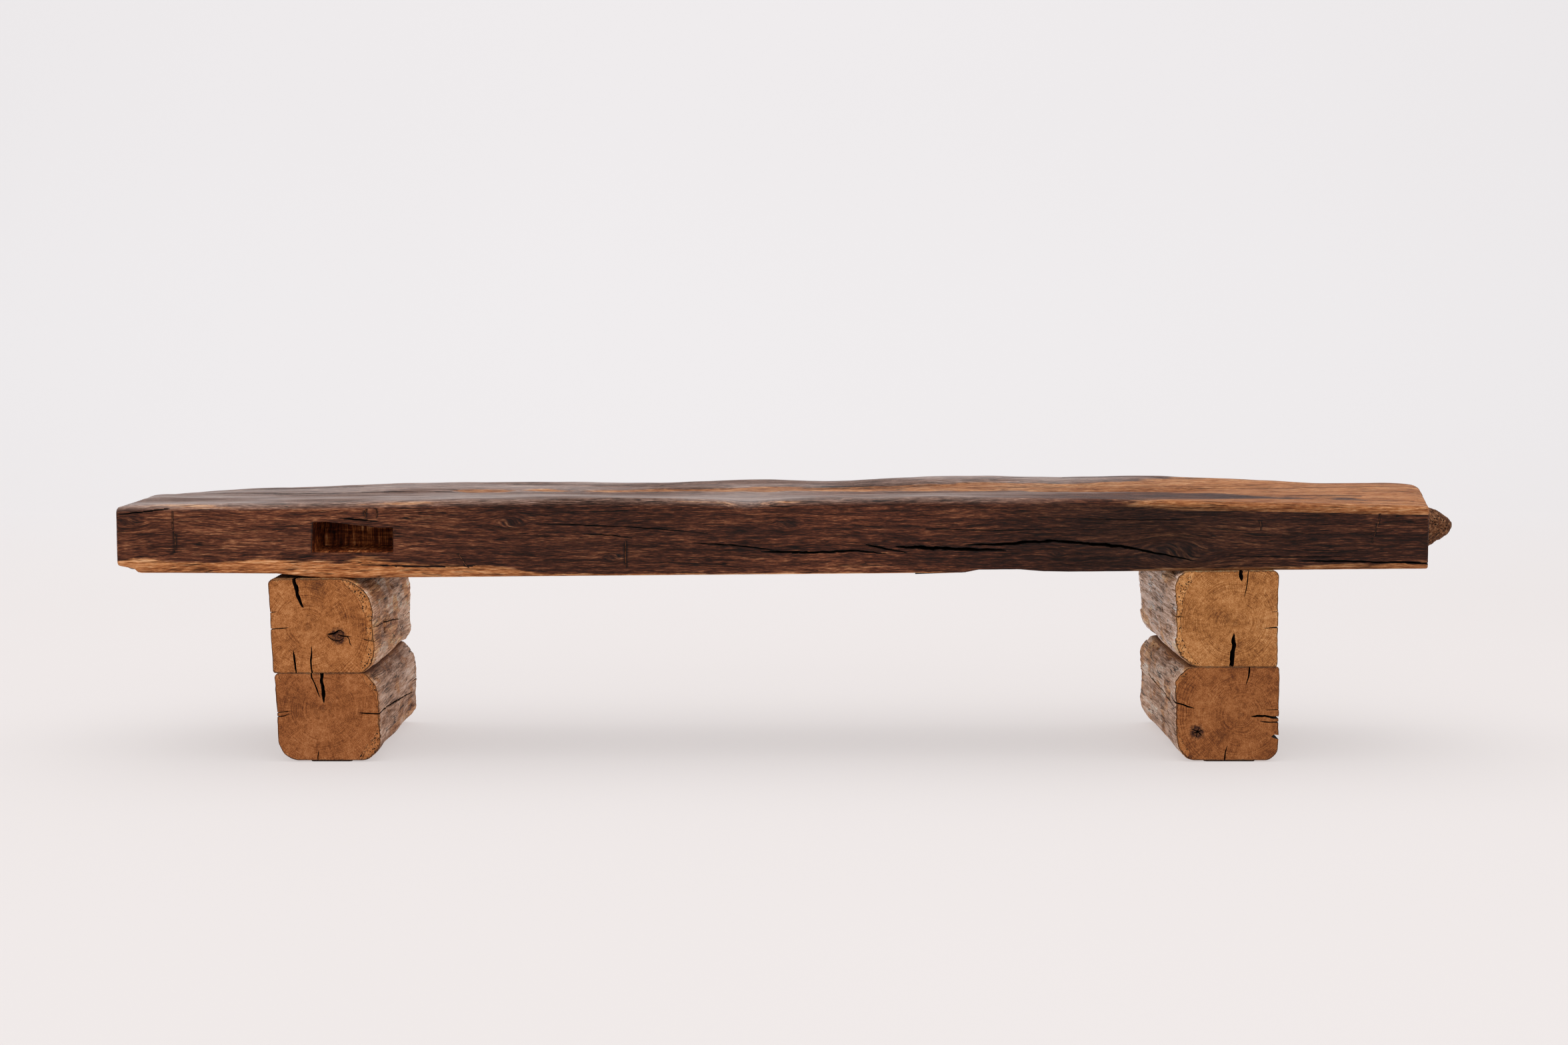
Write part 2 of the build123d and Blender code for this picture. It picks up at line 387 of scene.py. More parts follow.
def beam_sections():
    """Points of the beam: one closed section at each place along it. The rows go from its front
    lower arris up the front, back over the top, down the back and forward under it, and the last
    line turns them round, so that the skin looks outward."""
    along = np.linspace(0, 1, 380)
    along = np.sort(np.concatenate([along, [0.0004, 0.0009, 0.0016, 0.9984, 0.9991, 0.9996]]))
    front_x = beam_low.x + along * beam_length

    def at(y):
        return front_x + along * end_skew * (y - beam_low.y) / beam_depth

    worn = 0.0075 + 0.0035 * hewn(front_x, 0, (0.12, 1), 21)
    worn = worn + 0.010 * np.exp(-(((front_x + 0.085) / 0.03) ** 2))
    nicked = 0.003 + 0.0022 * np.abs(hewn(front_x, 0, (0.025, 1), 22))
    y_front, y_back = beam_low.y, beam_high.y
    back_arris, back_foot = 0.012, 0.004
    top_front = top_height(at(y_front + worn), y_front + worn) - 0.0005
    top_back = top_height(at(y_back - back_arris), y_back - back_arris)
    low_front, low_back = underside(at(y_front), y_front), underside(at(y_back), y_back)

    rows = []
    turn = np.radians(np.linspace(0, 90, 5))[:-1, None]
    rows.append((y_front + nicked * (1 - np.sin(turn)), low_front + nicked * (1 - np.cos(turn))))
    rise = np.linspace(0, 1, 50)[:, None]
    foot, head = low_front + nicked, top_front - worn
    rows.append((y_front, foot + rise * (head - foot)))
    turn = np.radians(np.linspace(0, 90, 9))[1:-1, None]
    rows.append((y_front + worn * (1 - np.cos(turn)), head + worn * np.sin(turn)))
    share = np.concatenate(
        [np.linspace(0, 0.55, 26), np.linspace(0.565, 0.81, 24), np.linspace(0.83, 1, 11)]
    )[:, None]
    y = y_front + worn + share * (beam_depth - back_arris - worn)
    rows.append((y, top_height(at(y), y)))
    turn = np.radians(np.linspace(0, 90, 7))[1:-1, None]
    y = y_back - back_arris * (1 - np.sin(turn))
    rows.append((y, top_back - back_arris * (1 - np.cos(turn))))
    fall = np.linspace(0, 1, 23)[:, None]
    head, foot = top_back - back_arris, low_back + back_foot
    rows.append((y_back, head + fall * (foot - head)))
    turn = np.radians(np.linspace(0, 90, 4))[1:, None]
    rows.append((y_back - back_foot * (1 - np.cos(turn)), foot - back_foot * np.sin(turn)))
    y = np.linspace(y_back - 0.016, y_front + 0.014, 28)[:, None]
    rows.append((y, underside(at(y), y)))

    y, z = np.concatenate([np.broadcast_arrays(*row) for row in rows], axis=1).transpose(0, 2, 1)
    x = beam_low.x + along[:, None] * (beam_length + end_skew * (y - y_front) / beam_depth)
    return along, np.stack([x, y, z], axis=-1)[:, ::-1]


def weather_faces(points):
    """Moves the beam's front and back faces in and out with hewn flats and a fine ripple."""
    x, y, z = np.moveaxis(points, -1, 0)
    for face, seed in ((beam_low.y, 31), (beam_high.y, 41)):
        near = 1 - ease(np.abs(y - face), 0.0, 0.012)
        flats = 0.0016 * hewn(x, z, (0.33, 0.07), seed) + 0.0007 * hewn(x, z, (0.09, 0.03), seed + 2)
        points[..., 1] += near * (flats + 0.00035 * hewn(x, z, (0.05, 0.004), seed + 5))
    return points


def round_ends(points, along):
    """Draws the last sections in, so that the ends have worn edges and their tops fall away."""
    radius = 0.0045
    middle = points.mean(axis=1, keepdims=True)
    y, z = points[..., 1], points[..., 2]
    for end, drop in ((0.0, 0.003), (1.0, 0.002)):
        from_end = np.abs(along[:, None] - end) * beam_length
        edge = radius * (1 - np.sqrt(1 - np.clip(1 - from_end / radius, 0, 1) ** 2))
        points[..., 1] -= np.sign(y - middle[..., 1]) * edge
        points[..., 2] -= np.sign(z - middle[..., 2]) * edge
        above = ease(z, middle[..., 2], middle[..., 2] + 0.05)
        fall = np.clip(1 - from_end / 0.030, 0, 1) ** 2
        points[..., 2] -= drop * fall * above
    return points


end_rings = 13  # rings of points in each end face of the beam


def capped(rings):
    """Adds end faces to rings of points: rings that shrink to a pole, with a rough sawn surface."""
    ends = []
    for ring, sign in ((rings[0], -1), (rings[-1], 1)):
        pole = ring.mean(axis=0)
        share = (1 - np.linspace(0, 1, end_rings + 2)[1:-1, None, None]) ** 0.9
        face = pole + (ring - pole) * share
        face[..., 0] += sign * 0.0012 * hewn(face[..., 1], face[..., 2], (0.02, 0.02), 81)
        ends.append((face, pole))
    (first, first_pole), (last, last_pole) = ends
    return np.concatenate([first[::-1], rings, last]), first_pole, last_pole


def beam_masks(points):
    """Where the beam is bare of its dark skin, how light or dark each part of it is, and where its
    top is grey: partly dust and weathering, partly painted sheen."""
    x, y, z = points.T
    low = underside(x, y)
    high = curve(x, arris_line)
    on_top = ease(z, high - 0.012, high - 0.002) * (1 - ease(y, 0.17, 0.18))
    bare = bare_wood(x, y) * on_top * np.where(x > 0.6, 0.85, 1)
    at_front = 1 - ease(y, beam_low.y + 0.004, beam_low.y + 0.016)
    arris = np.exp(-(((z - high + 0.004) / 0.005) ** 2)) * (1 - ease(y, -0.18, -0.15))
    arris = arris * (0.14 + 0.36 * hewn(x, 0, (0.16, 1), 51) + 0.65 * ease(x, 0.45, 0.75))
    rubbed = ease(x, 0.38, 0.72) * (1 - ease(y, -0.150, -0.085)) * ease(z, high - 0.018, high - 0.010)
    arris = np.maximum(arris, rubbed * (0.90 + 0.30 * hewn(x, y, (0.10, 0.05), 54)))
    foot_reach = [
        (-1.1, 0.006), (-1.06, 0.020), (-0.9, 0.024), (-0.8, 0.027), (-0.70, 0.037),
        (-0.62, 0.030), (-0.5, 0.016), (-0.40, 0.004), (0.5, 0.0), (0.60, 0.007), (0.9, 0.009),
        (1.1, 0.010),
    ]
    reach = np.interp(x, *np.array(foot_reach).T) * (1 + 0.5 * hewn(x, 0, (0.07, 1), 52))
    foot = at_front * (1 - ease((z - low) / np.maximum(reach, 1e-4), 0.5, 1.3)) * (reach > 0.001)
    bare = np.maximum(np.maximum(bare, arris), 0.88 * foot)
    tone_line = [
        (-1.1, 1.18), (-0.9, 1.22), (-0.7, 1.26), (-0.5, 1.05), (-0.3, 0.95), (-0.1, 1.05),
        (0.1, 1.30), (0.3, 0.95), (0.42, 0.52), (0.62, 0.38), (0.8, 0.62), (1.1, 0.90),
    ]
    tone = curve(x, tone_line) * (1 + 0.12 * hewn(x, z, (0.17, 0.05), 53))
    band = bare_wood(x, y) * (1 - ease(x, 0.5, 0.75))
    tone = tone + (1 - 0.22 * band - tone) * on_top
    # The grey top is partly dust and weathering and partly painted sheen: a painted reflection of the pale
    # surroundings, seen at a grazing angle.
    front_strip = 1 - ease(y, -0.04, 0.05)
    grey = on_top * (1 - ease(x + 0.25 * front_strip, 0.42, 0.74))
    return np.clip(bare, 0, 1), tone, grey


def blade(path, half_width, depth, into, seed, opens=(False, False)):
    """A thin wedge that cuts a crack: a narrow triangle carried along a path on the surface, wide
    at the surface and closing at its depth. Both ends come to a point unless the crack opens there."""
    path = np.array(path, float)
    walked = np.concatenate([[0], np.cumsum(np.linalg.norm(np.diff(path, axis=0), axis=1))])
    count = max(8, int(walked[-1] / 0.0035))
    s = np.linspace(0, 1, count)
    line = np.stack([curve(s * walked[-1], list(zip(walked, part))) for part in path.T], axis=-1)
    ends = np.minimum(np.where(opens[0], 1, s / 0.22), np.where(opens[1], 1, (1 - s) / 0.35))
    full = np.sqrt(np.clip(ends, 0.003, 1))
    into = np.array(into, float) / np.linalg.norm(into)
    across = np.cross(np.gradient(line, axis=0), into)
    across = across / np.linalg.norm(across, axis=1, keepdims=True)
    wander = hewn(s * walked[-1], seed, (0.012, 1), seed, 3)[:, None]
    line = line + across * half_width * 0.9 * wander * full[:, None]
    wide = half_width * full * (1 + 0.35 * hewn(s * walked[-1], 0, (0.009, 1), seed + 3))
    side = np.array([-1.0, 1.0, 1.0, 0.6, 0.0, -0.6, -1.0]) * wide[:, None]
    down = np.array([-0.008, -0.008, 0.0, 0.5 * depth, depth, 0.5 * depth, 0.0])
    down = np.where(down > 0, down * full[:, None] ** 0.5, down)
    rings = line[:, None] + side[..., None] * across[:, None] + down[..., None] * into
    return closed_skin("blade", rings[:, ::-1], rings[0].mean(axis=0), rings[-1].mean(axis=0))


def combine(piece, others, operation):
    """Cuts other solids from a piece, or joins them to it, and keeps their materials on the cut."""
    group = bpy.data.collections.new("tools")
    for other in others:
        group.objects.link(other)
    modifier = piece.modifiers.new("tools", "BOOLEAN")
    modifier.operation = operation
    modifier.operand_type = "COLLECTION"
    modifier.collection = group
    modifier.solver = "MANIFOLD"
    modifier.material_mode = "TRANSFER"
    bpy.context.view_layer.update()
    result = bpy.data.meshes.new_from_object(
        piece.evaluated_get(bpy.context.evaluated_depsgraph_get())
    )
    piece.modifiers.clear()
    piece.data = result
    for other in others:
        bpy.data.objects.remove(other)
    bpy.data.collections.remove(group)
    result.shade_smooth()
    result.set_sharp_from_angle(angle=math.radians(38))


def mortise_cutter():
    """The mortise's inside: a box chopped out with a chisel, as rings from the face to the bottom.
    Its head slopes down to +X and is ragged where the face broke away."""
    depth = np.concatenate([[-0.010, 0.0], np.linspace(0.003, 0.105, 26)])
    turn = np.linspace(0, 1, 96, endpoint=False)
    corners = np.array([(0, 0), (0, 1), (1, 1), (1, 0), (0, 0)], float)
    u, v = (np.interp(turn, [0, 0.15, 0.5, 0.65, 1], part) for part in corners.T)
    left = -0.7775 - 0.002 * (1 - v)
    x = left + u * (-0.6500 - left)
    head = 0.3865 - 0.0085 * ease(u, 0.15, 0.9) + 0.0012 * hewn(x, 0, (0.014, 1), 61)
    z = 0.3375 + v * (head - 0.3375)
    x, y, z = np.broadcast_arrays(x, beam_low.y + depth[:, None], z)
    away = ease(depth, 0.0, 0.02)[:, None]
    z = z - away * 0.0035 * (v - 0.5) + 0.0008 * away * hewn(x + z, y, (0.011, 0.03), 62)
    x = x - away * 0.003 * (u - 0.5) + 0.0012 * away * hewn(x + z, y, (0.02, 0.012), 63)
    rings = np.stack([x, y, z], axis=-1)
    pole = rings[-1].mean(axis=0)
    share = np.linspace(1, 0, 22)[1:-1, None, None]
    floor = pole + (rings[-1] - pole) * share
    chops = 0.0022 * hewn(floor[..., 0], floor[..., 2], (0.006, 0.05), 64)
    chops += 0.003 * hewn(floor[..., 0], floor[..., 2], (0.03, 0.02), 65)
    floor[..., 1] += chops * ease(1 - share[..., 0], 0, 0.15)
    return closed_skin("mortise", np.concatenate([rings, floor]), rings[0].mean(axis=0), pole)


def broken_tenon():
    """The stump of the tenon: rough ovals that shrink out to a ragged point."""
    root, tip = 0.985, beam_high.x
    out = np.linspace(0, 1, 60)[:, None]
    turn = np.linspace(0, 2 * math.pi, 110, endpoint=False)
    taper = np.interp(out, [0, 0.36, 0.55, 0.8, 0.93, 1], [1, 1, 0.90, 0.60, 0.38, 0.16])
    half_deep = 0.062 * taper ** 0.8
    half_high = 0.037 * taper
    round_off = (np.abs(np.cos(turn)) ** 3 + np.abs(np.sin(turn)) ** 3) ** (-1 / 3)
    y = beam_low.y + 0.1905 + half_deep * np.cos(turn) * round_off
    z = 0.3610 + 0.005 * out + half_high * np.sin(turn) * round_off
    x = root + (tip - 0.002 - root) * out
    rough = hewn(turn * 0.05 + 3 * y, x + z, (0.016, 0.012), 71, 3)
    y = y + 0.0045 * rough * taper ** 0.5 * np.cos(turn)
    z = z + 0.0045 * rough * taper ** 0.5 * np.sin(turn)
    x = x + 0.003 * hewn(y, z, (0.02, 0.01), 72, 2) * out * (1 - out)
    rings = np.stack(np.broadcast_arrays(x, y, z), axis=-1)
    return closed_skin("tenon", rings, rings[0].mean(axis=0), rings[-1].mean(axis=0))


def splinter():
    """A lifted splinter under the beam: a thin wedge that points to +X, narrowing to its tip."""
    out = np.linspace(0, 1, 30)[:, None]
    turn = np.linspace(0, 2 * math.pi, 10, endpoint=False)
    x = 0.185 + 0.082 * out
    y = beam_low.y + 0.006 + 0.005 * (1 - out) * np.cos(turn)
    z = 0.3040 + 0.0012 * out + 0.0016 * (1.02 - out) * np.sin(turn)
    rings = np.stack(np.broadcast_arrays(x, y, z), axis=-1)
    return closed_skin("splinter", rings, rings[0].mean(axis=0), rings[-1].mean(axis=0))


def face_crack(points, half_width, depth, seed, opens=(False, False)):
    """A crack in the front face, through points that give X and Z."""
    path = [(x, beam_low.y, z) for x, z in points]
    return blade(path, half_width, depth, (0, 1, 0), seed, opens)


def beam_cracks():
    """Cutters for the drying cracks: the long stepped one in the front face, its fine neighbours,
    the split that frees a sliver at the foot of the +X end, and those in the top, the back and the
    -X end."""
    front_cracks = [
        ([(-0.170, 0.353), (-0.095, 0.348), (-0.030, 0.340)], 0.0009, 0.02),
        ([(-0.062, 0.339), (0.029, 0.338), (0.095, 0.340), (0.140, 0.3355)], 0.0016, 0.03),
        ([(0.105, 0.3505), (0.135, 0.344), (0.171, 0.3375)], 0.0013, 0.02),
        ([(0.152, 0.3475), (0.213, 0.3445), (0.277, 0.3425), (0.330, 0.341)], 0.0027, 0.045),
        ([(0.262, 0.3495), (0.338, 0.3525), (0.409, 0.356), (0.461, 0.352),
          (0.523, 0.346), (0.585, 0.334), (0.631, 0.324)], 0.0021, 0.04),
        ([(-0.425, 0.384), (-0.329, 0.381), (-0.233, 0.376), (-0.148, 0.368)], 0.0006, 0.012),
        ([(-0.345, 0.3675), (-0.300, 0.365), (-0.268, 0.3610)], 0.0006, 0.01),
        ([(-1.087, 0.398), (-1.057, 0.402), (-1.006, 0.408)], 0.0008, 0.012),
        ([(-0.735, 0.3925), (-0.705, 0.3905), (-0.672, 0.3870)], 0.0009, 0.012),
        ([(-0.70, 0.3180), (-0.60, 0.3150), (-0.52, 0.3165)], 0.0005, 0.01),
        ([(0.45, 0.392), (0.55, 0.390), (0.63, 0.3915)], 0.0005, 0.01),
        ([(0.70, 0.3320), (0.80, 0.3305), (0.90, 0.3320)], 0.0005, 0.01),
        ([(0.20, 0.3760), (0.31, 0.3735), (0.40, 0.3750)], 0.0004, 0.008),
    ]
    cracks = [
        face_crack(points, half_width, depth, 101 + number)
        for number, (points, half_width, depth) in enumerate(front_cracks)
    ]
    foot_split = [(0.80, 0.3242), (0.88, 0.3232), (0.97, 0.3212), (1.03, 0.3195)]
    cracks.append(face_crack(foot_split, 0.0012, 0.05, 114, (False, True)))
    top_cracks = [
        ([(-1.00, 0.050), (-0.86, 0.046), (-0.70, 0.052), (-0.58, 0.049)], 0.0012),
        ([(-0.93, 0.118), (-0.78, 0.112), (-0.66, 0.116)], 0.0010),
        ([(-0.50, 0.104), (-0.36, 0.110), (-0.20, 0.106)], 0.0008),
        ([(0.35, 0.118), (0.52, 0.124), (0.70, 0.121)], 0.0010),
        ([(0.66, -0.086), (0.80, -0.080), (0.92, -0.083)], 0.0010),
        ([(-0.62, -0.095), (-0.45, -0.090), (-0.30, -0.094)], 0.0007),
        ([(0.78, 0.035), (0.93, 0.030), (1.09, 0.036)], 0.0014),
    ]
    for number, (points, half_width) in enumerate(top_cracks):
        x, y = np.array(points).T
        path = np.stack([x, y, top_height(x, y)], axis=-1)
        cracks.append(blade(path, half_width, 0.02, (0, 0, -1), 130 + number))
    back_cracks = [
        ([(-0.95, 0.345), (-0.72, 0.352), (-0.45, 0.347), (-0.25, 0.350)], 0.0018),
        ([(-0.10, 0.372), (0.18, 0.366), (0.42, 0.371)], 0.0012),
        ([(0.38, 0.340), (0.66, 0.347), (0.98, 0.342)], 0.0020),
        ([(-0.60, 0.388), (-0.44, 0.384), (-0.30, 0.387)], 0.0008),
    ]
    for number, (points, half_width) in enumerate(back_cracks):
        path = [(x, beam_high.y, z) for x, z in points]
        cracks.append(blade(path, half_width, 0.03, (0, -1, 0), 150 + number))
    end_cracks = [
        ([(0.020, 0.352), (0.060, 0.366), (0.105, 0.392), (0.118, 0.440)], 0.0014, True),
        ([(-0.020, 0.345), (-0.075, 0.350), (-0.130, 0.346)], 0.0009, False),
        ([(0.030, 0.335), (0.090, 0.330), (0.150, 0.336), (0.200, 0.338)], 0.0012, True),
    ]
    for number, (points, half_width, opens) in enumerate(end_cracks):
        path = [(beam_low.x, y, z) for y, z in points]
        cracks.append(blade(path, half_width, 0.03, (1, 0, 0), 170 + number, (False, opens)))
    return cracks


def beam_scratches():
    """Cutters for the shallow marks across the front face: a carpenter's scribed line near the -X
    end, the step of an old lap, and a few knocks."""
    scratches = [
        ([(-1.0010, 0.4040), (-1.0018, 0.3900), (-1.0012, 0.3740)], 0.0007, 0.0006),
        ([(-0.9990, 0.3720), (-0.9978, 0.3560), (-0.9984, 0.3380)], 0.0006, 0.0005),
        ([(-0.2780, 0.3580), (-0.2788, 0.3350), (-0.2775, 0.3120)], 0.0008, 0.0010),
        ([(0.9270, 0.4000), (0.9205, 0.3740), (0.9120, 0.3440)], 0.0007, 0.0006),
        ([(-0.5460, 0.3360), (-0.5380, 0.3230), (-0.5290, 0.3120)], 0.0007, 0.0008),
        ([(-0.6900, 0.4080), (-0.6945, 0.4010), (-0.6930, 0.3940)], 0.0010, 0.0015),
        ([(-0.6770, 0.4085), (-0.6745, 0.4000), (-0.6760, 0.3930)], 0.0007, 0.0010),
        ([(0.7340, 0.3900), (0.7360, 0.3810), (0.7350, 0.3730)], 0.0006, 0.0005),
    ]
    return [
        face_crack(points, half_width, depth, 160 + number)
        for number, (points, half_width, depth) in enumerate(scratches)
    ]


def contour(noise, width):
    """1 along the lines where a noise is 0.5, fading out at that difference from it."""
    return (noise - 0.5).math("ABSOLUTE").between(width, width * 0.15)


def aged_wood(wire, knots):
    """The grain of a weathered timber along X: broad bands, streaks, fine fibres, open pores,
    hairline cracks and the shade of its knots. Grain lines spread around each knot, given as its
    X, Z and size."""
    x, y, z = wire.place()
    level = z + (wire.noise(x * 4, y * 7, z * 7, 1) - 0.5) * 0.014
    level = level + (wire.noise(x * 17, y * 30, z * 30, 1) - 0.5) * 0.0022
    dark, swirl = 0.0, 0.0
    for knot_x, knot_z, size in knots:
        away_x = (x - knot_x) / (2.4 * size)
        away_z = (z - knot_z) / size
        square = away_x * away_x + away_z * away_z
        near = 1 / (1 + square * square)
        level = level - (z - knot_z) * near * 0.8 + (x - knot_x) * near * 0.16
        dark = near * near * near + dark
        swirl = near * (square.math("SQRT") * 15 + level * 500).math("SINE") + swirl
    return {
        "broad": wire.noise(x * 4, y * 60, level * 60, 3, 0.6),
        "streak": wire.noise(x * 15, y * 260, level * 260, 4, 0.75),
        "fibre": wire.noise(x * 60, y * 900, level * 900, 2, 0.7),
        "patch": wire.noise(x * 3.2, y * 14, level * 14, 2),
        "pore": wire.noise(x * 19, y * 430, level * 430, 2, 0.55).between(0.60, 0.66),
        "hairline": contour(wire.noise(x * 3.4, y * 95, level * 95, 2), 0.014)
        * wire.noise(x * 6, y * 19, z * 19, 1).between(0.50, 0.60),
        "shake": contour(wire.noise(x * 7, y * 190, level * 190, 1), 0.020)
        * wire.noise(x * 11, y * 45, z * 45, 1).between(0.50, 0.58),
        "knot": dark,
        "swirl": swirl,
    }


def dark_oak():
    """Old oak: dark red-brown skin streaked along the grain, orange where it is rubbed bare, grey
    and a little polished on top, that grey partly dust and partly painted sheen, and black in its
    pores, hairline cracks and knots."""
    material, wire, shader = new_material("dark_oak")
    knots = [(-0.462, 0.386, 0.011), (-0.019, 0.384, 0.010), (0.409, 0.336, 0.006),
             (0.606, 0.338, 0.024), (-1.070, 0.388, 0.012), (-0.300, 0.330, 0.008)]
    grain = aged_wood(wire, knots)
    bare, tone, grey = (wire.stored(name) for name in ("bare", "tone", "grey"))
    spread = (grain["broad"] - 0.5) * 0.55 + (grain["streak"] - 0.5) * 1.1 + (grain["fibre"] - 0.5) * 1.4
    streak = 0.5 + spread + (grain["patch"] - 0.5) * 0.5 + grain["swirl"] * 0.05
    skin = streak.ramp(
        (0.10, "120804"), (0.36, "30150c"), (0.54, "4b2516"), (0.72, "6f3f28"), (0.95, "a36f4c")
    )
    # A paler grey skin for the top: dust and weathering, with painted sheen in it.
    weathered_and_painted_light = streak.ramp(
        (0.12, "281811"), (0.38, "5e4135"), (0.58, "846455"), (0.80, "a88b7d"), (0.98, "c8b8b0")
    )
    rubbed = streak.ramp((0.12, "5a2c14"), (0.38, "92562f"), (0.58, "b87b4c"), (0.88, "dcab80"))
    worn = (bare + (grain["broad"] - 0.5) * 1.0 + (grain["streak"] - 0.5) * 0.9).between(0.30, 0.66)
    colour = worn.mix(grey.mix(skin, weathered_and_painted_light), rubbed)
    shade = wire.node("CombineColor", {0: tone, 1: tone, 2: tone})
    colour = wire.node(
        "Mix", {0: 1.0, 6: colour, 7: shade}, output=2, data_type="RGBA", blend_type="MULTIPLY"
    )
    x, y, z = wire.place()
    speck = wire.cells(x * 15, y * 28, z * 28).between(0.026, 0.014)
    colour = speck.mix(colour, tint("a08a78"))
    black = grain["hairline"] * 0.9 + grain["shake"] * 0.7 + grain["pore"] * 0.55 + grain["knot"] * 0.5
    colour = black.math("MINIMUM", 1.0).mix(colour, tint("0d0604"))
    roughness = 0.52 + (0.5 - grain["streak"]) * 0.4 + worn * 0.10
    height = streak * 0.6 - grain["hairline"] * 0.9 - grain["shake"] * 0.5 - grain["pore"] * 0.35
    finish_material(shader, colour, roughness, height, 0.0016, Specular_IOR_Level=0.14)
    sheen = grey * (0.75 - worn * 0.5) * grain["patch"].between(0.35, 0.6)
    colour.tree.links.new(sheen.socket, shader.inputs["Coat Weight"])
    shader.inputs["Coat Roughness"].default_value = 0.42
    return material


def cut_wood_and_shadow(name, dark, light):
    """The inside of a crack or a scratch: streaked wood of two given shades that was never rubbed.
    In the cracks, checks and counterbores the shades are near black: painted shadow.
    """
    material, wire, shader = new_material(name)
    x, y, z = wire.place()
    streak = wire.noise(x * 9, y * 260, z * 260, 3)
    colour = streak.ramp((0.4, dark), (0.6, light))
    finish_material(shader, colour, 0.8, streak, 0.001, Specular_IOR_Level=0.1)
    return material


def chopped_oak():
    """The mortise's inside: dark red-brown wood with the upright marks of the chisel, a little darker
    towards its ends as painted shade.
    """
    material, wire, shader = new_material("chopped_oak")
    x, y, z = wire.place()
    chops = wire.noise(x * 230, y * 60, z * 28, 4, 0.6)
    grain = wire.noise(x * 12, y * 210, z * 210, 4)
    # A little lighter across the middle of the mortise and darker towards its ends: painted shade.
    streak = chops * 0.6 + grain * 0.4 + x.between(-0.765, -0.71) * x.between(-0.66, -0.70) * 0.06 - 0.03
    colour = streak.ramp((0.38, "2f1007"), (0.49, "6c3115"), (0.58, "b76a38"), (0.68, "eeb47c"))
    finish_material(shader, colour, 0.7, streak, 0.003, Specular_IOR_Level=0.1)
    return material


def dark_end_grain():
    """The beam's sawn ends: rings round a heart below its middle, dark with age, with fine rays,
    pores and a few paler knocks."""
    material, wire, shader = new_material("dark_end_grain")
    x, y, z = wire.place()
    across = y - 0.02 + (wire.noise(x * 4, y * 13, z * 13, 3) - 0.5) * 0.02
    up = z - 0.325 + (wire.noise(x * 4, y * 13 + 9, z * 13, 3) - 0.5) * 0.02
    radius = (across * across + up * up).math("SQRT")
    phase = radius * 300 + (wire.noise(radius * 60, 5.0, 0.0, 2) - 0.5) * 6
    ring = ((phase.math("FRACT") - 0.5).math("ABSOLUTE") * 2).between(0.2, 1.0)
    ray = wire.noise(up.math("ARCTAN2", across) * 70, radius * 22, 0.0, 2, 0.6)
    crumb = wire.noise(x * 30, y * 170, z * 170, 4, 0.7)
    patch = wire.noise(x * 4, y * 14, z * 14, 3)
    tone = 0.5 + (patch - 0.5) * 0.7 + (ray - 0.5) * 0.5 + (crumb - 0.5) * 0.9 - ring * 0.16
    colour = tone.ramp((0.12, "120906"), (0.36, "2f190f"), (0.54, "4d2e1e"), (0.80, "7f5a42"))
    finish_material(shader, colour, 0.75, tone, 0.0016, Specular_IOR_Level=0.12)
    return material


def torn_end_grain():
    """The broken tenon: brown end grain, rough and full of holes."""
    material, wire, shader = new_material("torn_end_grain")
    x, y, z = wire.place()
    crumbs = wire.noise(x * 110, y * 170, z * 170, 5, 0.75)
    hole = wire.cells(x * 190 + crumbs * 3, y * 260, z * 260 + crumbs * 3).between(0.42, 0.22)
    colour = crumbs.ramp((0.36, "34190b"), (0.48, "683f26"), (0.58, "8f6244"), (0.70, "b98a62"))
    colour = (hole * crumbs.between(0.42, 0.55)).mix(colour, tint("150b06"))
    finish_material(shader, colour, 0.85, crumbs - hole * 0.6, 0.004, Specular_IOR_Level=0.15)
    return material


along, sections = beam_sections()
sections = round_ends(weather_faces(sections), along)
skin, first_pole, last_pole = capped(sections)
beam = closed_skin("seat_timber", skin, first_pole, last_pole)
# The near-black lining of every crack, check and counterbore is painted shadow.
oak, shadow = dark_oak(), cut_wood_and_shadow("painted_shadow_in_cuts", "0d0705", "26130b")
beam.data.materials.append(oak)
beam.data.materials.append(dark_end_grain())
faces, around = len(beam.data.polygons), skin.shape[1]
row = np.arange(faces) // around
in_an_end = (row < end_rings) | (row >= len(skin) - 1 - end_rings)
beam.data.polygons.foreach_set("material_index", in_an_end.astype(np.int32))
points = np.concatenate([skin.reshape(-1, 3), [first_pole, last_pole]])
for name, values in zip(("bare", "tone", "grey"), beam_masks(points)):
    give(beam, name, values)
tenon = broken_tenon()
tenon.data.materials.append(torn_end_grain())
sliver = splinter()
sliver.data.materials.append(oak)
combine(beam, [tenon, sliver], "UNION")
mortise = mortise_cutter()
mortise.data.materials.append(chopped_oak())
cracks = beam_cracks()
for cutter in cracks:
    cutter.data.materials.append(shadow)
scratches = beam_scratches()
scratch_wood = cut_wood_and_shadow("scratched_oak", "3e2115", "7a4c33")
for cutter in scratches:
    cutter.data.materials.append(scratch_wood)
combine(beam, [mortise, *cracks, *scratches], "DIFFERENCE")
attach(beam, "root")
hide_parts("seat_beam")


# ---- leg blocks --------------------------------------------------------------------------------
# Four squared offcuts of younger oak, two to a leg, laid with their grain from front to back so
# that their sawn ends show: tan rings round the pith, black drying checks, and on the side towards
# the middle of the bench a worm-eaten edge of sapwood over a furrowed, weathered face.

block_end = 0.19  # how far each end is from the middle of the bench
rod_at = 0.0554  # and how far each of a leg's rods
inner_rings = 36  # rings of points in each end face of a block
side_rings = 88  # rings along its sides, between its rounded ends
ring_points = 300


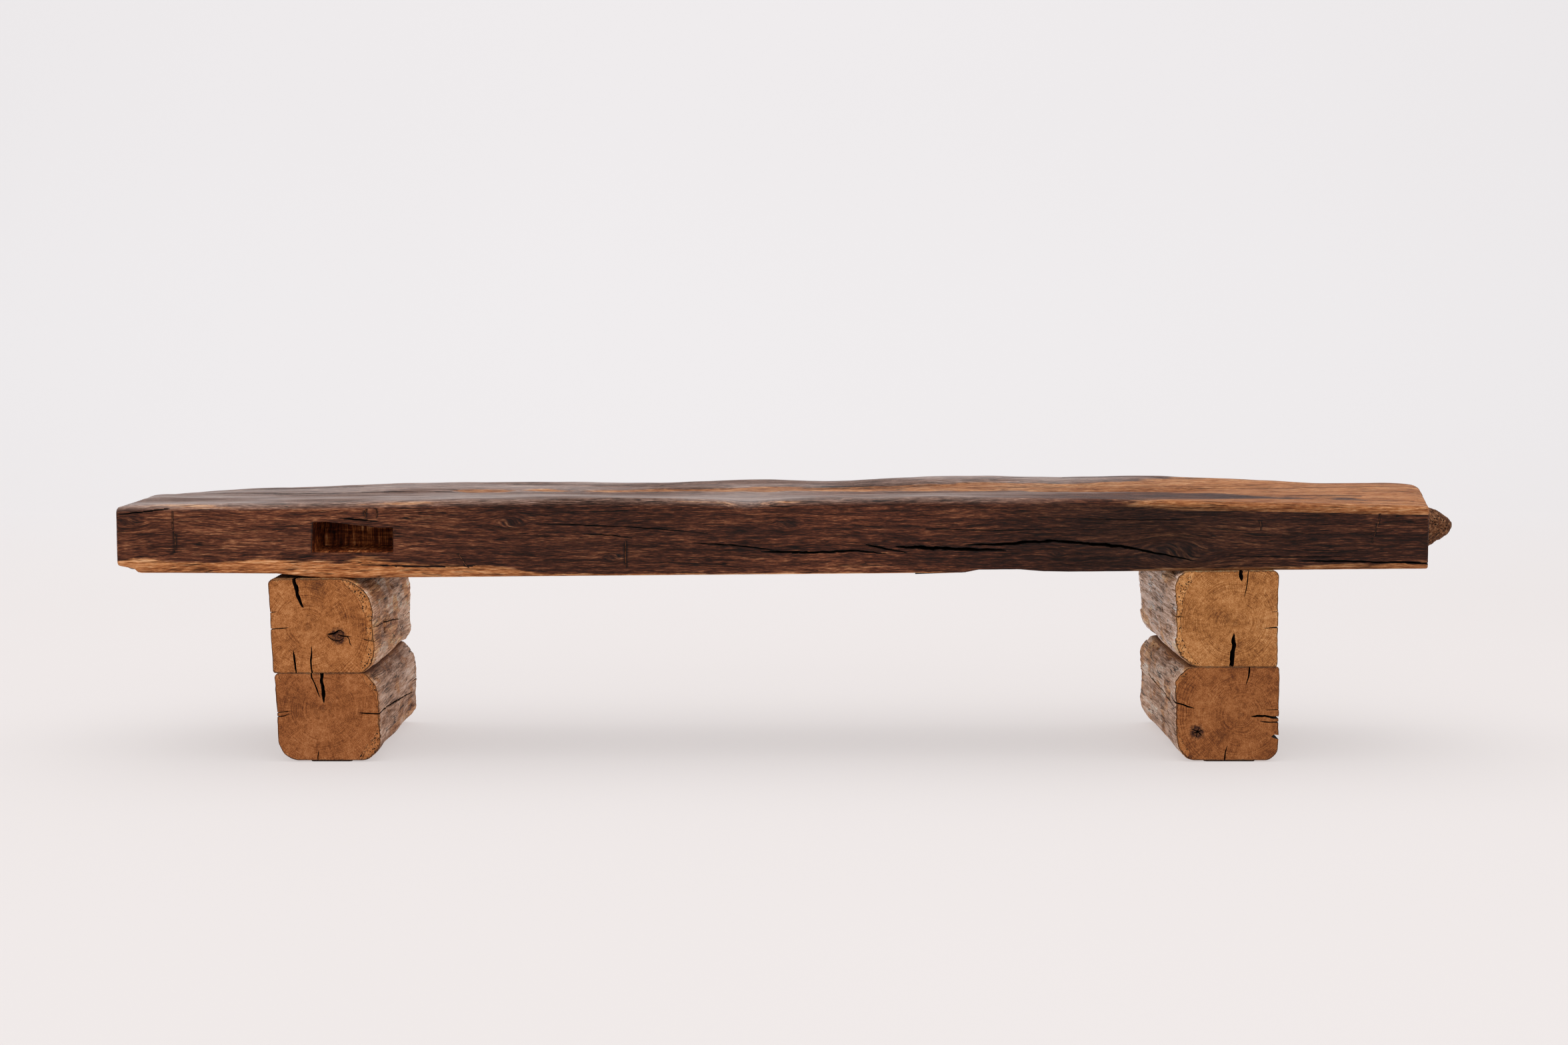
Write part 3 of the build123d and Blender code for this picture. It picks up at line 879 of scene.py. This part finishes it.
def rounded_outline(corners, radii, count):
    """Evenly spaced points round a four-sided outline whose corners are arcs."""
    corners = np.array(corners, float)
    line = []
    for place, radius in enumerate(radii):
        corner = corners[place]
        sides = np.array([corners[place - 1], corners[(place + 1) % 4]]) - corner
        sides /= np.linalg.norm(sides, axis=1, keepdims=True)
        half = math.acos(np.clip(sides[0] @ sides[1], -1, 1)) / 2
        middle = sides.sum(axis=0) / np.linalg.norm(sides.sum(axis=0))
        centre = corner + middle * radius / math.sin(half)
        ends = corner + sides * radius / math.tan(half) - centre
        turn = math.pi - 2 * half
        t = np.linspace(0, 1, 24)[:, None]
        spread = np.sin((1 - t) * turn) * ends[0] + np.sin(t * turn) * ends[1]
        line.append(centre + spread / math.sin(turn))
    line = np.concatenate([*line, line[0][:1]])
    walked = np.concatenate([[0], np.cumsum(np.linalg.norm(np.diff(line, axis=0), axis=1))])
    at = np.linspace(0, walked[-1], count, endpoint=False)
    return np.stack([np.interp(at, walked, part) for part in line.T], axis=-1), walked[-1]


def sawn_ends(rings, pith, seed):
    """The end faces of a block, front and rear, each with its pole at the pith: rings that grow
    evenly from the pole to the edge, on a level with it and sawn a little rough."""
    ends = []
    for ring, sign in ((rings[0], 1), (rings[-1], -1)):
        level = ring[:, 1].mean()
        pole = np.array([pith[0], level, pith[1]])
        share = np.linspace(0, 1, inner_rings + 2)[1:-1, None, None]
        face = pole + (ring - pole) * share
        rough = hewn(face[..., 0], face[..., 2], (0.05, 0.02), seed, 3)
        face[..., 1] = level + sign * 0.0006 * rough
        ends.append((face, pole))
    return ends


def sapwood(outline, s, pith, heart, seed, between):
    """Two masks for a block's rings, of which some lie between its end faces: 1 in the sapwood,
    beyond the heartwood's radius at each angle round the pith, and 1 at the edge of an end face,
    falling to 0 over 2.4 mm."""
    edge = np.linalg.norm(outline - np.array(pith), axis=1)
    share = np.linspace(0, 1, inner_rings + 2)[1:-1]
    share = np.concatenate([share, np.ones(between), share[::-1]])[:, None]
    angle = np.degrees(np.arctan2(outline[:, 1] - pith[1], outline[:, 0] - pith[0]))
    boundary = np.interp(angle, *np.array(heart).T, period=360) + 0.002 * hewn(s, 0, (0.02, 1), seed)
    sap = np.clip(0.5 + (share * edge - boundary) / 0.004, 0, 1)
    rim = np.clip(1 - (1 - share) * edge / 0.0024, 0, 1)
    return sap, rim


def leg_block(name, draw_in, radii, pith, heart, seed, inner):
    """A block as a closed skin: rings that grow from the pith to the edge of the front end, run
    back along the sides with furrows in their weathered face, and shrink to the pith behind.
    heart gives the heartwood's radius at angles round the pith, in degrees, and inner is the sign
    of X on the side towards the middle of the bench."""
    low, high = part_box(name)
    upper = "upper" in name
    head = [seat_plane(high.x), seat_plane(low.x)] if upper else [high.z, high.z]
    corners = [(low.x + draw_in, low.z), (high.x, low.z), (high.x, head[0]), (low.x, head[1])]
    outline, length = rounded_outline(corners, radii, ring_points)
    ahead = np.roll(outline, -1, axis=0) - np.roll(outline, 1, axis=0)
    normal = np.stack([ahead[:, 1], -ahead[:, 0]], axis=-1)
    normal /= np.linalg.norm(normal, axis=1, keepdims=True)
    free = 1 - ease(np.abs(normal[:, 1]), 0.80, 0.985)
    wane = ease(inner * normal[:, 0], 0.15, 0.6)

    s = np.linspace(0, length, ring_points, endpoint=False)
    wear = 0.0008 + 0.0005 * hewn(s, 0, (0.02, 1), seed) + 0.0010 * wane
    steps = np.array([1.0, 0.55, 0.16, 0.0])
    inset = np.concatenate([steps, np.zeros(side_rings), steps[::-1]])[:, None] * wear
    drop = np.array([0.0, 0.12, 0.5, 1.0])
    middle = np.linspace(low.y + 0.005, high.y - 0.005, side_rings)[:, None]
    middle = np.broadcast_to(middle, (side_rings, ring_points))
    y = np.concatenate([low.y + drop[:, None] * wear, middle, high.y - drop[::-1, None] * wear])
    bent = s + 0.005 * hewn(s, y, (0.035, 0.09), seed + 1)
    furrow = hewn(bent, y, (0.012, 0.15), seed + 2, 3)
    deep = 0.0030 * (np.abs(furrow) - 0.35) + 0.0035 * hewn(s, y, (0.05, 0.10), seed + 4)
    plain = 0.0008 * hewn(s, y, (0.03, 0.09), seed + 5) + 0.0009 * hewn(s, y, (0.012, 0.03), seed + 6)
    pit = 0.004 * ease(hewn(s, y, (0.016, 0.03), seed + 7, 2), 0.45, 0.8)
    relief = free * (wane * (deep - pit - 0.001) + (1 - wane) * plain) - inset
    rings = np.stack([
        outline[:, 0] + relief * normal[:, 0],
        y,
        outline[:, 1] + relief * normal[:, 1],
    ], axis=-1)

    (front, front_pole), (rear, rear_pole) = sawn_ends(rings, pith, seed + 8)
    skin = np.concatenate([front, rings, rear[::-1]])
    block = closed_skin(name + "_timber", skin[:, ::-1], front_pole, rear_pole)

    sap, rim = sapwood(outline, s, pith, heart, seed + 9, len(rings))
    hollow = np.zeros(sap.shape)
    hollow[inner_rings:-inner_rings] = np.clip(0.5 - np.abs(furrow) * 3.0 + pit * 120, 0, 1) * free
    wane = np.broadcast_to(wane, sap.shape)
    for label, values in (("sap", sap), ("rim", rim), ("hollow", hollow), ("wane", wane)):
        give(block, label, np.append(values[:, ::-1].ravel(), [0, 0]))
    row = np.arange(len(block.data.polygons)) // ring_points
    side_face = (row > inner_rings) & (row < len(skin) - inner_rings - 2)
    block.data.materials.append(None)
    block.data.materials.append(None)
    block.data.polygons.foreach_set("material_index", side_face.astype(np.int32))
    return block


def end_grain(name, pith, shade, knots):
    """Sawn end grain: uneven rings round the pith, fine pores and rays, dark stains and knots, and
    the orange, worm-eaten sapwood at the edge. shade scales all its colours: the block's painted light and
    shade."""
    material, wire, shader = new_material(name)
    x, y, z = wire.place()
    across = x - pith[0] + (wire.noise(x * 14, y * 4, z * 14, 3) - 0.5) * 0.016
    up = z - pith[1] + (wire.noise(x * 14 + 9, y * 4, z * 14, 3) - 0.5) * 0.016
    radius = (across * across + up * up).math("SQRT")
    angle = up.math("ARCTAN2", across)
    phase = radius * 330 + (wire.noise(radius * 75, 3.0, 0.0, 2) - 0.5) * 7
    ring = ((phase.math("FRACT") - 0.5).math("ABSOLUTE") * 2).between(0.2, 1.0)
    ring = ring * wire.noise(x * 30, y * 5, z * 30, 2).between(0.32, 0.66)
    ray = wire.noise(angle * 80, radius * 26, 0.0, 2, 0.6)
    pores = wire.noise(x * 720, y * 40, z * 720, 2, 0.6)
    crumb = wire.noise(x * 150, y * 30, z * 150, 3, 0.65)
    patch = wire.noise(x * 15, y * 5, z * 15, 4, 0.6)
    tone = 0.5 + (patch - 0.5) * 0.55 + (ray - 0.5) * 0.45 + (pores - 0.5) * 0.6 + (crumb - 0.5) * 0.5
    colour = (tone - ring * 0.16).ramp(
        (0.16, "532810"), (0.36, "87501f"), (0.52, "ac6f38"), (0.74, "cb935a"), light=shade
    )
    dark = radius.between(0.006, 0.001) * 0.25 + patch.between(0.40, 0.24) * 0.35
    for knot_x, knot_z, size in knots:
        off_x, off_z = x - knot_x, z - knot_z
        away = (off_x * off_x + off_z * off_z).math("SQRT") / size + (crumb - 0.5) * 1.6
        dark = away.between(1.5, 0.8) * (0.85 + (away * 11).math("SINE") * 0.15) + dark
    colour = dark.math("MINIMUM", 1.0).mix(colour, tint("351607", shade))
    sap = wire.stored("sap")
    ragged = sap + (wire.noise(x * 120, y * 60, z * 120, 4, 0.65) - 0.5) * 0.9
    strip = ragged.between(0.42, 0.56)
    pale = (pores * 0.5 + crumb * 0.5).ramp(
        (0.32, "754219"), (0.48, "b0733a"), (0.64, "d69c60"), light=shade
    )
    colour = strip.mix(colour, pale)
    line = (ragged - 0.45).math("ABSOLUTE").between(0.10, 0.01) * crumb.between(0.42, 0.55)
    burrows = wire.cells(x * 340 + crumb * 3, y * 120, z * 340 + pores * 2)
    holes = burrows.between(0.40, 0.26) * (ragged - 0.02).between(0.2, 0.6)
    holes = holes * wire.noise(x * 90, y * 30, z * 90, 2).between(0.43, 0.52)
    rim = wire.stored("rim")
    edge = (rim + (crumb - 0.5) * 1.8).between(0.42, 1.0) * 0.8
    black = (line * 0.75 + holes).math("MAXIMUM", edge).math("MINIMUM", 1.0)
    colour = black.mix(colour, tint("190c05"))
    height = 0.5 + pores * 0.4 + crumb * 0.5 - ring * 0.25 + ray * 0.2 - holes * 1.2 - line * 0.5
    finish_material(shader, colour, 0.68 + strip * 0.12, height, 0.0011, Specular_IOR_Level=0.2)
    return material


def weathered_oak(name, light):
    """The sides of a block: on the waney side pale grey-brown and furrowed along Y, with tan
    patches, worm holes and dark furrows, and plain brown elsewhere. light scales the grey and brown
    colours: the painted light on this block's sides."""
    material, wire, shader = new_material(name)
    x, y, z = wire.place()
    bend = (wire.noise(x * 20, y * 4, z * 20, 2) - 0.5) * 0.006
    across = z + bend
    fibre = wire.noise(x * 560, y * 30, across * 560, 3, 0.7)
    streak = wire.noise(x * 160, y * 10, across * 160, 4, 0.7)
    broad = wire.noise(x * 45, y * 7, across * 45, 2)
    patch = wire.noise(x * 18, y * 13, z * 18, 3)
    wane = wire.stored("wane")
    hollow = wire.stored("hollow")
    tone = 0.5 + (fibre - 0.5) * 1.0 + (streak - 0.5) * 1.0 + (broad - 0.5) * 0.7
    grey = tone.ramp((0.14, "503120"), (0.36, "9e785c"), (0.56, "cfad95"), (0.85, "efdfd2"), light=light)
    brown = tone.ramp((0.14, "462714"), (0.38, "915e38"), (0.58, "c58e5b"), (0.88, "eac391"), light=light)
    tan = patch.between(0.46, 0.62)
    colour = (wane - tan * 0.8).between(0.0, 0.9).mix(brown, grey)
    colour = ((1 - wane) * 0.5).mix(colour, tint("4a2c18"))
    groove = contour(wire.noise(x * 30, y * 5, across * 90, 2), 0.020)
    holes = wire.cells(x * 210, y * 190, z * 210).between(0.34, 0.24)
    holes = holes * wire.noise(x * 26, y * 19, z * 26, 1).between(0.52, 0.60) * wane
    groove = groove * wire.noise(x * 40, y * 14, z * 40, 1).between(0.42, 0.56)
    black = (hollow * 0.55 + groove * 0.7 * wane + holes * 0.9).math("MINIMUM", 0.92)
    colour = black.mix(colour, tint("1f120b"))
    height = tone * 0.8 - groove * 0.5 * wane - holes * 0.8
    finish_material(shader, colour, 0.72, height, 0.0022, Specular_IOR_Level=0.25)
    return material


def check(seed, points, half_width, depth=0.045, opens=True):
    """The same drying check in both ends of a block, through points that give X and Z. It narrows
    inwards and, where it opens, runs out of the block's edge."""
    return [
        blade([(x, side * block_end, z) for x, z in points], half_width, depth, (0, -side, 0),
              seed + side, (False, opens))
        for side in (-1, 1)
    ]


def block_cracks(inner, seed, end_checks, side_cracks):
    cutters = []
    for facts in end_checks:
        cutters += check(seed, *facts)
        seed += 3
    for points, half_width in side_cracks:
        cutters.append(blade(points, half_width, 0.014, (-inner, 0, 0), seed))
        seed += 3
    return cutters


def counterbore(leg, y):
    """A turned cutter for the recess that holds a nut and its washer."""
    radius = 0.017
    turn = np.linspace(0, 2 * math.pi, 64, endpoint=False)
    mouth, roof = -0.01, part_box("left_front_washer")[1].z
    z = np.array([mouth, roof])[:, None]
    ring = np.broadcast_arrays(leg + radius * np.cos(turn), y + radius * np.sin(turn), z)
    return closed_skin("counterbore", np.stack(ring, axis=-1), (leg, y, mouth), (leg, y, roof))


# Each block's shade scales the colours of its end grain, and side those of its sides: painted light and
# shade that make each block a lit or shaded copy of the same wood, with a small shift of hue as well.
blocks = {
    "left_upper_block": dict(
        draw_in=0.006, radii=(0.004, 0.028, 0.058, 0.008), pith=(-0.787, 0.220), seed=200, inner=1,
        heart=[(-60, 0.135), (-38, 0.107), (-4, 0.0985), (52, 0.0925), (80, 0.115), (112, 0.12),
               (123, 0.086), (135, 0.12), (250, 0.14)],
        shade=(0.95, 0.88, 0.97), side=(1.30, 1.18, 1.10), knots=[(-0.738, 0.203, 0.011)],
        crack_seed=300, side_cracks=[
            ([(-0.6785, -0.20, 0.219), (-0.6785, 0.00, 0.206), (-0.6785, 0.10, 0.194)], 0.0009),
        ],
    ),
    "left_lower_block": dict(
        draw_in=0.006, radii=(0.034, 0.030, 0.030, 0.008), pith=(-0.764, 0.087), seed=220, inner=1,
        heart=[(-75, 0.12), (-52, 0.096), (-6, 0.0885), (28, 0.0865), (41, 0.081), (60, 0.12),
               (130, 0.12), (147, 0.0815), (160, 0.12), (215, 0.12), (232, 0.0935), (245, 0.12)],
        shade=(0.77, 0.65, 0.69), side=(0.95, 0.84, 0.78), knots=[],
        crack_seed=340, side_cracks=[
            ([(-0.674, -0.20, 0.079), (-0.674, 0.03, 0.068), (-0.674, 0.16, 0.058)], 0.0013),
        ],
    ),
    "right_upper_block": dict(
        draw_in=0.002, radii=(0.046, 0.004, 0.009, 0.024), pith=(0.696, 0.226), seed=240, inner=-1,
        heart=[(-70, 0.13), (-45, 0.0915), (-30, 0.13), (110, 0.13), (131, 0.100), (180, 0.0905),
               (230, 0.0895), (250, 0.115)],
        shade=(1.03, 1.08, 1.27), side=(1.40, 1.48, 1.62), knots=[],
        crack_seed=360, side_cracks=[],
    ),
    "right_lower_block": dict(
        draw_in=0.004, radii=(0.034, 0.022, 0.004, 0.030), pith=(0.709, 0.077), seed=260, inner=-1,
        heart=[(-100, 0.14), (40, 0.094), (60, 0.14), (125, 0.14), (142, 0.1155), (160, 0.1135),
               (175, 0.109), (200, 0.109), (217, 0.106), (235, 0.14)],
        shade=(0.71, 0.61, 0.62), side=(1.15, 1.12, 1.12), knots=[(0.638, 0.048, 0.010)],
        crack_seed=380, side_cracks=[
            ([(0.599, -0.16, 0.088), (0.599, -0.02, 0.094), (0.599, 0.11, 0.099)], 0.0013),
        ],
    ),
}
checks = {
    "left_upper_block": [
        ([(-0.793, 0.249), (-0.800, 0.262), (-0.804, 0.275), (-0.809, 0.310)], 0.0028),
        ([(-0.817, 0.218), (-0.832, 0.216), (-0.860, 0.2135)], 0.0009),
        ([(-0.835, 0.2435), (-0.860, 0.240)], 0.0006),
        ([(-0.8105, 0.182), (-0.8085, 0.165), (-0.807, 0.132)], 0.0014),
        ([(-0.781, 0.188), (-0.7825, 0.165), (-0.781, 0.132)], 0.0013),
        ([(-0.757, 0.2065), (-0.749, 0.1985), (-0.737, 0.1965), (-0.728, 0.202)], 0.0008, 0.012, False),
        ([(-0.757, 0.2065), (-0.746, 0.2075), (-0.735, 0.2125), (-0.728, 0.2075)], 0.0012, 0.012, False),
        ([(-0.741, 0.2065), (-0.731, 0.204), (-0.717, 0.2035)], 0.0011, 0.012, False),
        ([(-0.728, 0.205), (-0.7215, 0.199), (-0.720, 0.192), (-0.7165, 0.187)], 0.0007, 0.012, False),
        ([(-0.703, 0.2005), (-0.690, 0.197), (-0.668, 0.1935)], 0.0006),
    ],
    "left_lower_block": [
        ([(-0.763, 0.095), (-0.7645, 0.115), (-0.766, 0.128), (-0.766, 0.160)], 0.0028),
        ([(-0.769, 0.104), (-0.776, 0.122), (-0.781, 0.135), (-0.784, 0.160)], 0.0011),
        ([(-0.815, 0.083), (-0.828, 0.081), (-0.860, 0.0785)], 0.0008),
        ([(-0.816, 0.0785), (-0.828, 0.075), (-0.860, 0.0725)], 0.0008),
        ([(-0.708, 0.080), (-0.690, 0.0785), (-0.660, 0.0775)], 0.0011),
        ([(-0.7725, 0.020), (-0.774, 0.010), (-0.7745, -0.010)], 0.0009),
    ],
    "right_upper_block": [
        ([(0.6945, 0.209), (0.694, 0.180), (0.693, 0.140)], 0.0032),
        ([(0.7105, 0.266), (0.714, 0.283), (0.7165, 0.320)], 0.0008),
        ([(0.7060, 0.292), (0.7050, 0.300), (0.7045, 0.320)], 0.0034, 0.02),
        ([(0.742, 0.2165), (0.755, 0.2175), (0.785, 0.217)], 0.0009),
        ([(0.617, 0.2345), (0.606, 0.2355), (0.580, 0.2365)], 0.0006),
        ([(0.752, 0.243), (0.785, 0.244)], 0.0005),
    ],
    "right_lower_block": [
        ([(0.7155, 0.125), (0.719, 0.140), (0.7215, 0.170)], 0.0012),
        ([(0.723, 0.0745), (0.745, 0.0735), (0.785, 0.0705)], 0.0019),
        ([(0.738, 0.0665), (0.755, 0.0645), (0.785, 0.0640)], 0.0010),
        ([(0.745, 0.0845), (0.785, 0.0855)], 0.0007),
        ([(0.634, 0.0865), (0.615, 0.093), (0.580, 0.101)], 0.0011),
        ([(0.687, 0.027), (0.684, 0.012), (0.681, -0.010)], 0.0010),
        ([(0.7575, 0.0405), (0.785, 0.042)], 0.0040, 0.07),
        ([(0.629, 0.0465), (0.638, 0.0485), (0.649, 0.0525)], 0.0009, 0.012, False),
        ([(0.641, 0.0570), (0.6385, 0.0480), (0.6355, 0.0375)], 0.0007, 0.012, False),
        ([(0.6285, 0.0540), (0.6370, 0.0500), (0.6470, 0.0420)], 0.0010, 0.010, False),
    ],
}
for name, facts in blocks.items():
    shade, side, knots = facts.pop("shade"), facts.pop("side"), facts.pop("knots")
    crack_seed, side_cracks = facts.pop("crack_seed"), facts.pop("side_cracks")
    block = leg_block(name, **facts)
    # Each block gets its own copies of both materials, with its own painted light and shade.
    block.data.materials[0] = end_grain(name + "_end_grain", facts["pith"], shade, knots)
    block.data.materials[1] = weathered_oak(name + "_weathered", side)
    cutters = block_cracks(facts["inner"], crack_seed, checks[name], side_cracks)
    if "lower" in name:
        leg = left_leg if "left" in name else right_leg
        cutters += [counterbore(leg, y) for y in (-rod_at, rod_at)]
    # The checks and counterbores are lined with near black: painted shadow.
    for cutter in cutters:
        cutter.data.materials.append(shadow)
    combine(block, cutters, "DIFFERENCE")
    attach(block, "root")
    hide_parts(name)


# ---- levelling rods and pads -------------------------------------------------------------------
# Two threaded steel rods clamp each leg's blocks to the beam from below, each with a washer and a
# nut in its counterbore. Thin rubber pads under the lower blocks keep them off the floor.


def zinc_steel():
    """Bright zinc plate, faintly yellow and blue in places, dulled by fine scratches and handling."""
    material, wire, shader = new_material("zinc_plate")
    x, y, z = wire.place()
    cloud = wire.noise(x * 130, y * 130, z * 130, 4)
    scratches = wire.noise(x * 900, y * 900, z * 4000, 3)
    colour = cloud.ramp((0.36, "9a958a"), (0.50, "b9bbbc"), (0.64, "c9cbd2"))
    roughness = 0.24 + cloud * 0.26 + (scratches - 0.5) * 0.2
    finish_material(shader, colour, roughness, scratches, 0.00006, Metallic=1.0)
    return material


def black_rubber():
    """Matt black rubber with a fine pebble, paler where dust has settled."""
    material, wire, shader = new_material("black_rubber")
    x, y, z = wire.place()
    dust = wire.noise(x * 60, y * 60, z * 60, 4, 0.65)
    pebble = wire.cells(x * 900, y * 900, z * 900)
    colour = dust.ramp((0.42, "0f0f10"), (0.56, "1a1a1b"), (0.72, "3b3937"))
    finish_material(shader, colour, 0.72 + dust * 0.2, pebble, 0.0002, Specular_IOR_Level=0.35)
    return material


def rubber_pad(name):
    """A pad that fills its place under a block: rings of a rounded rectangle that step out over a
    rounded lower edge, rise, and step in again at the top."""
    low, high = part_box(name)
    corners = [(low.x, low.y), (high.x, low.y), (high.x, high.y), (low.x, high.y)]
    outline = rounded_outline(corners, (0.005,) * 4, 128)[0]
    middle = outline.mean(axis=0)
    edge = 0.0005
    turn = np.linspace(0, math.pi / 2, 5)
    inset = np.concatenate([edge * (1 - np.sin(turn)), edge * (1 - np.cos(turn))])
    z = np.concatenate([low.z + edge * (1 - np.cos(turn)), high.z - edge * (1 - np.sin(turn))])
    half = np.abs(outline - middle).max(axis=0)
    rings = middle + (outline - middle) * (1 - inset[:, None, None] / half)
    rings = np.concatenate([rings, np.broadcast_to(z[:, None, None], (*rings.shape[:2], 1))], axis=-1)
    shrink = np.linspace(1, 0, 14)[1:-1, None, None]
    below, above = rings[0].mean(axis=0), rings[-1].mean(axis=0)
    under = below + (rings[0] - below) * shrink[::-1]
    over = above + (rings[-1] - above) * shrink
    return closed_skin(name + "_rubber", np.concatenate([under, rings, over]), below, above)


steel, rubber = zinc_steel(), black_rubber()
for leg in ("left", "right"):
    for end in ("front", "back"):
        for part in ("rod", "washer", "nut"):
            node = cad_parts[f"{leg}_{end}_{part}"]
            node.data.materials.clear()
            node.data.materials.append(steel)
        pad = rubber_pad(f"{leg}_{end}_pad")
        pad.data.materials.append(rubber)
        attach(pad, "root")
        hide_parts(f"{leg}_{end}_pad")
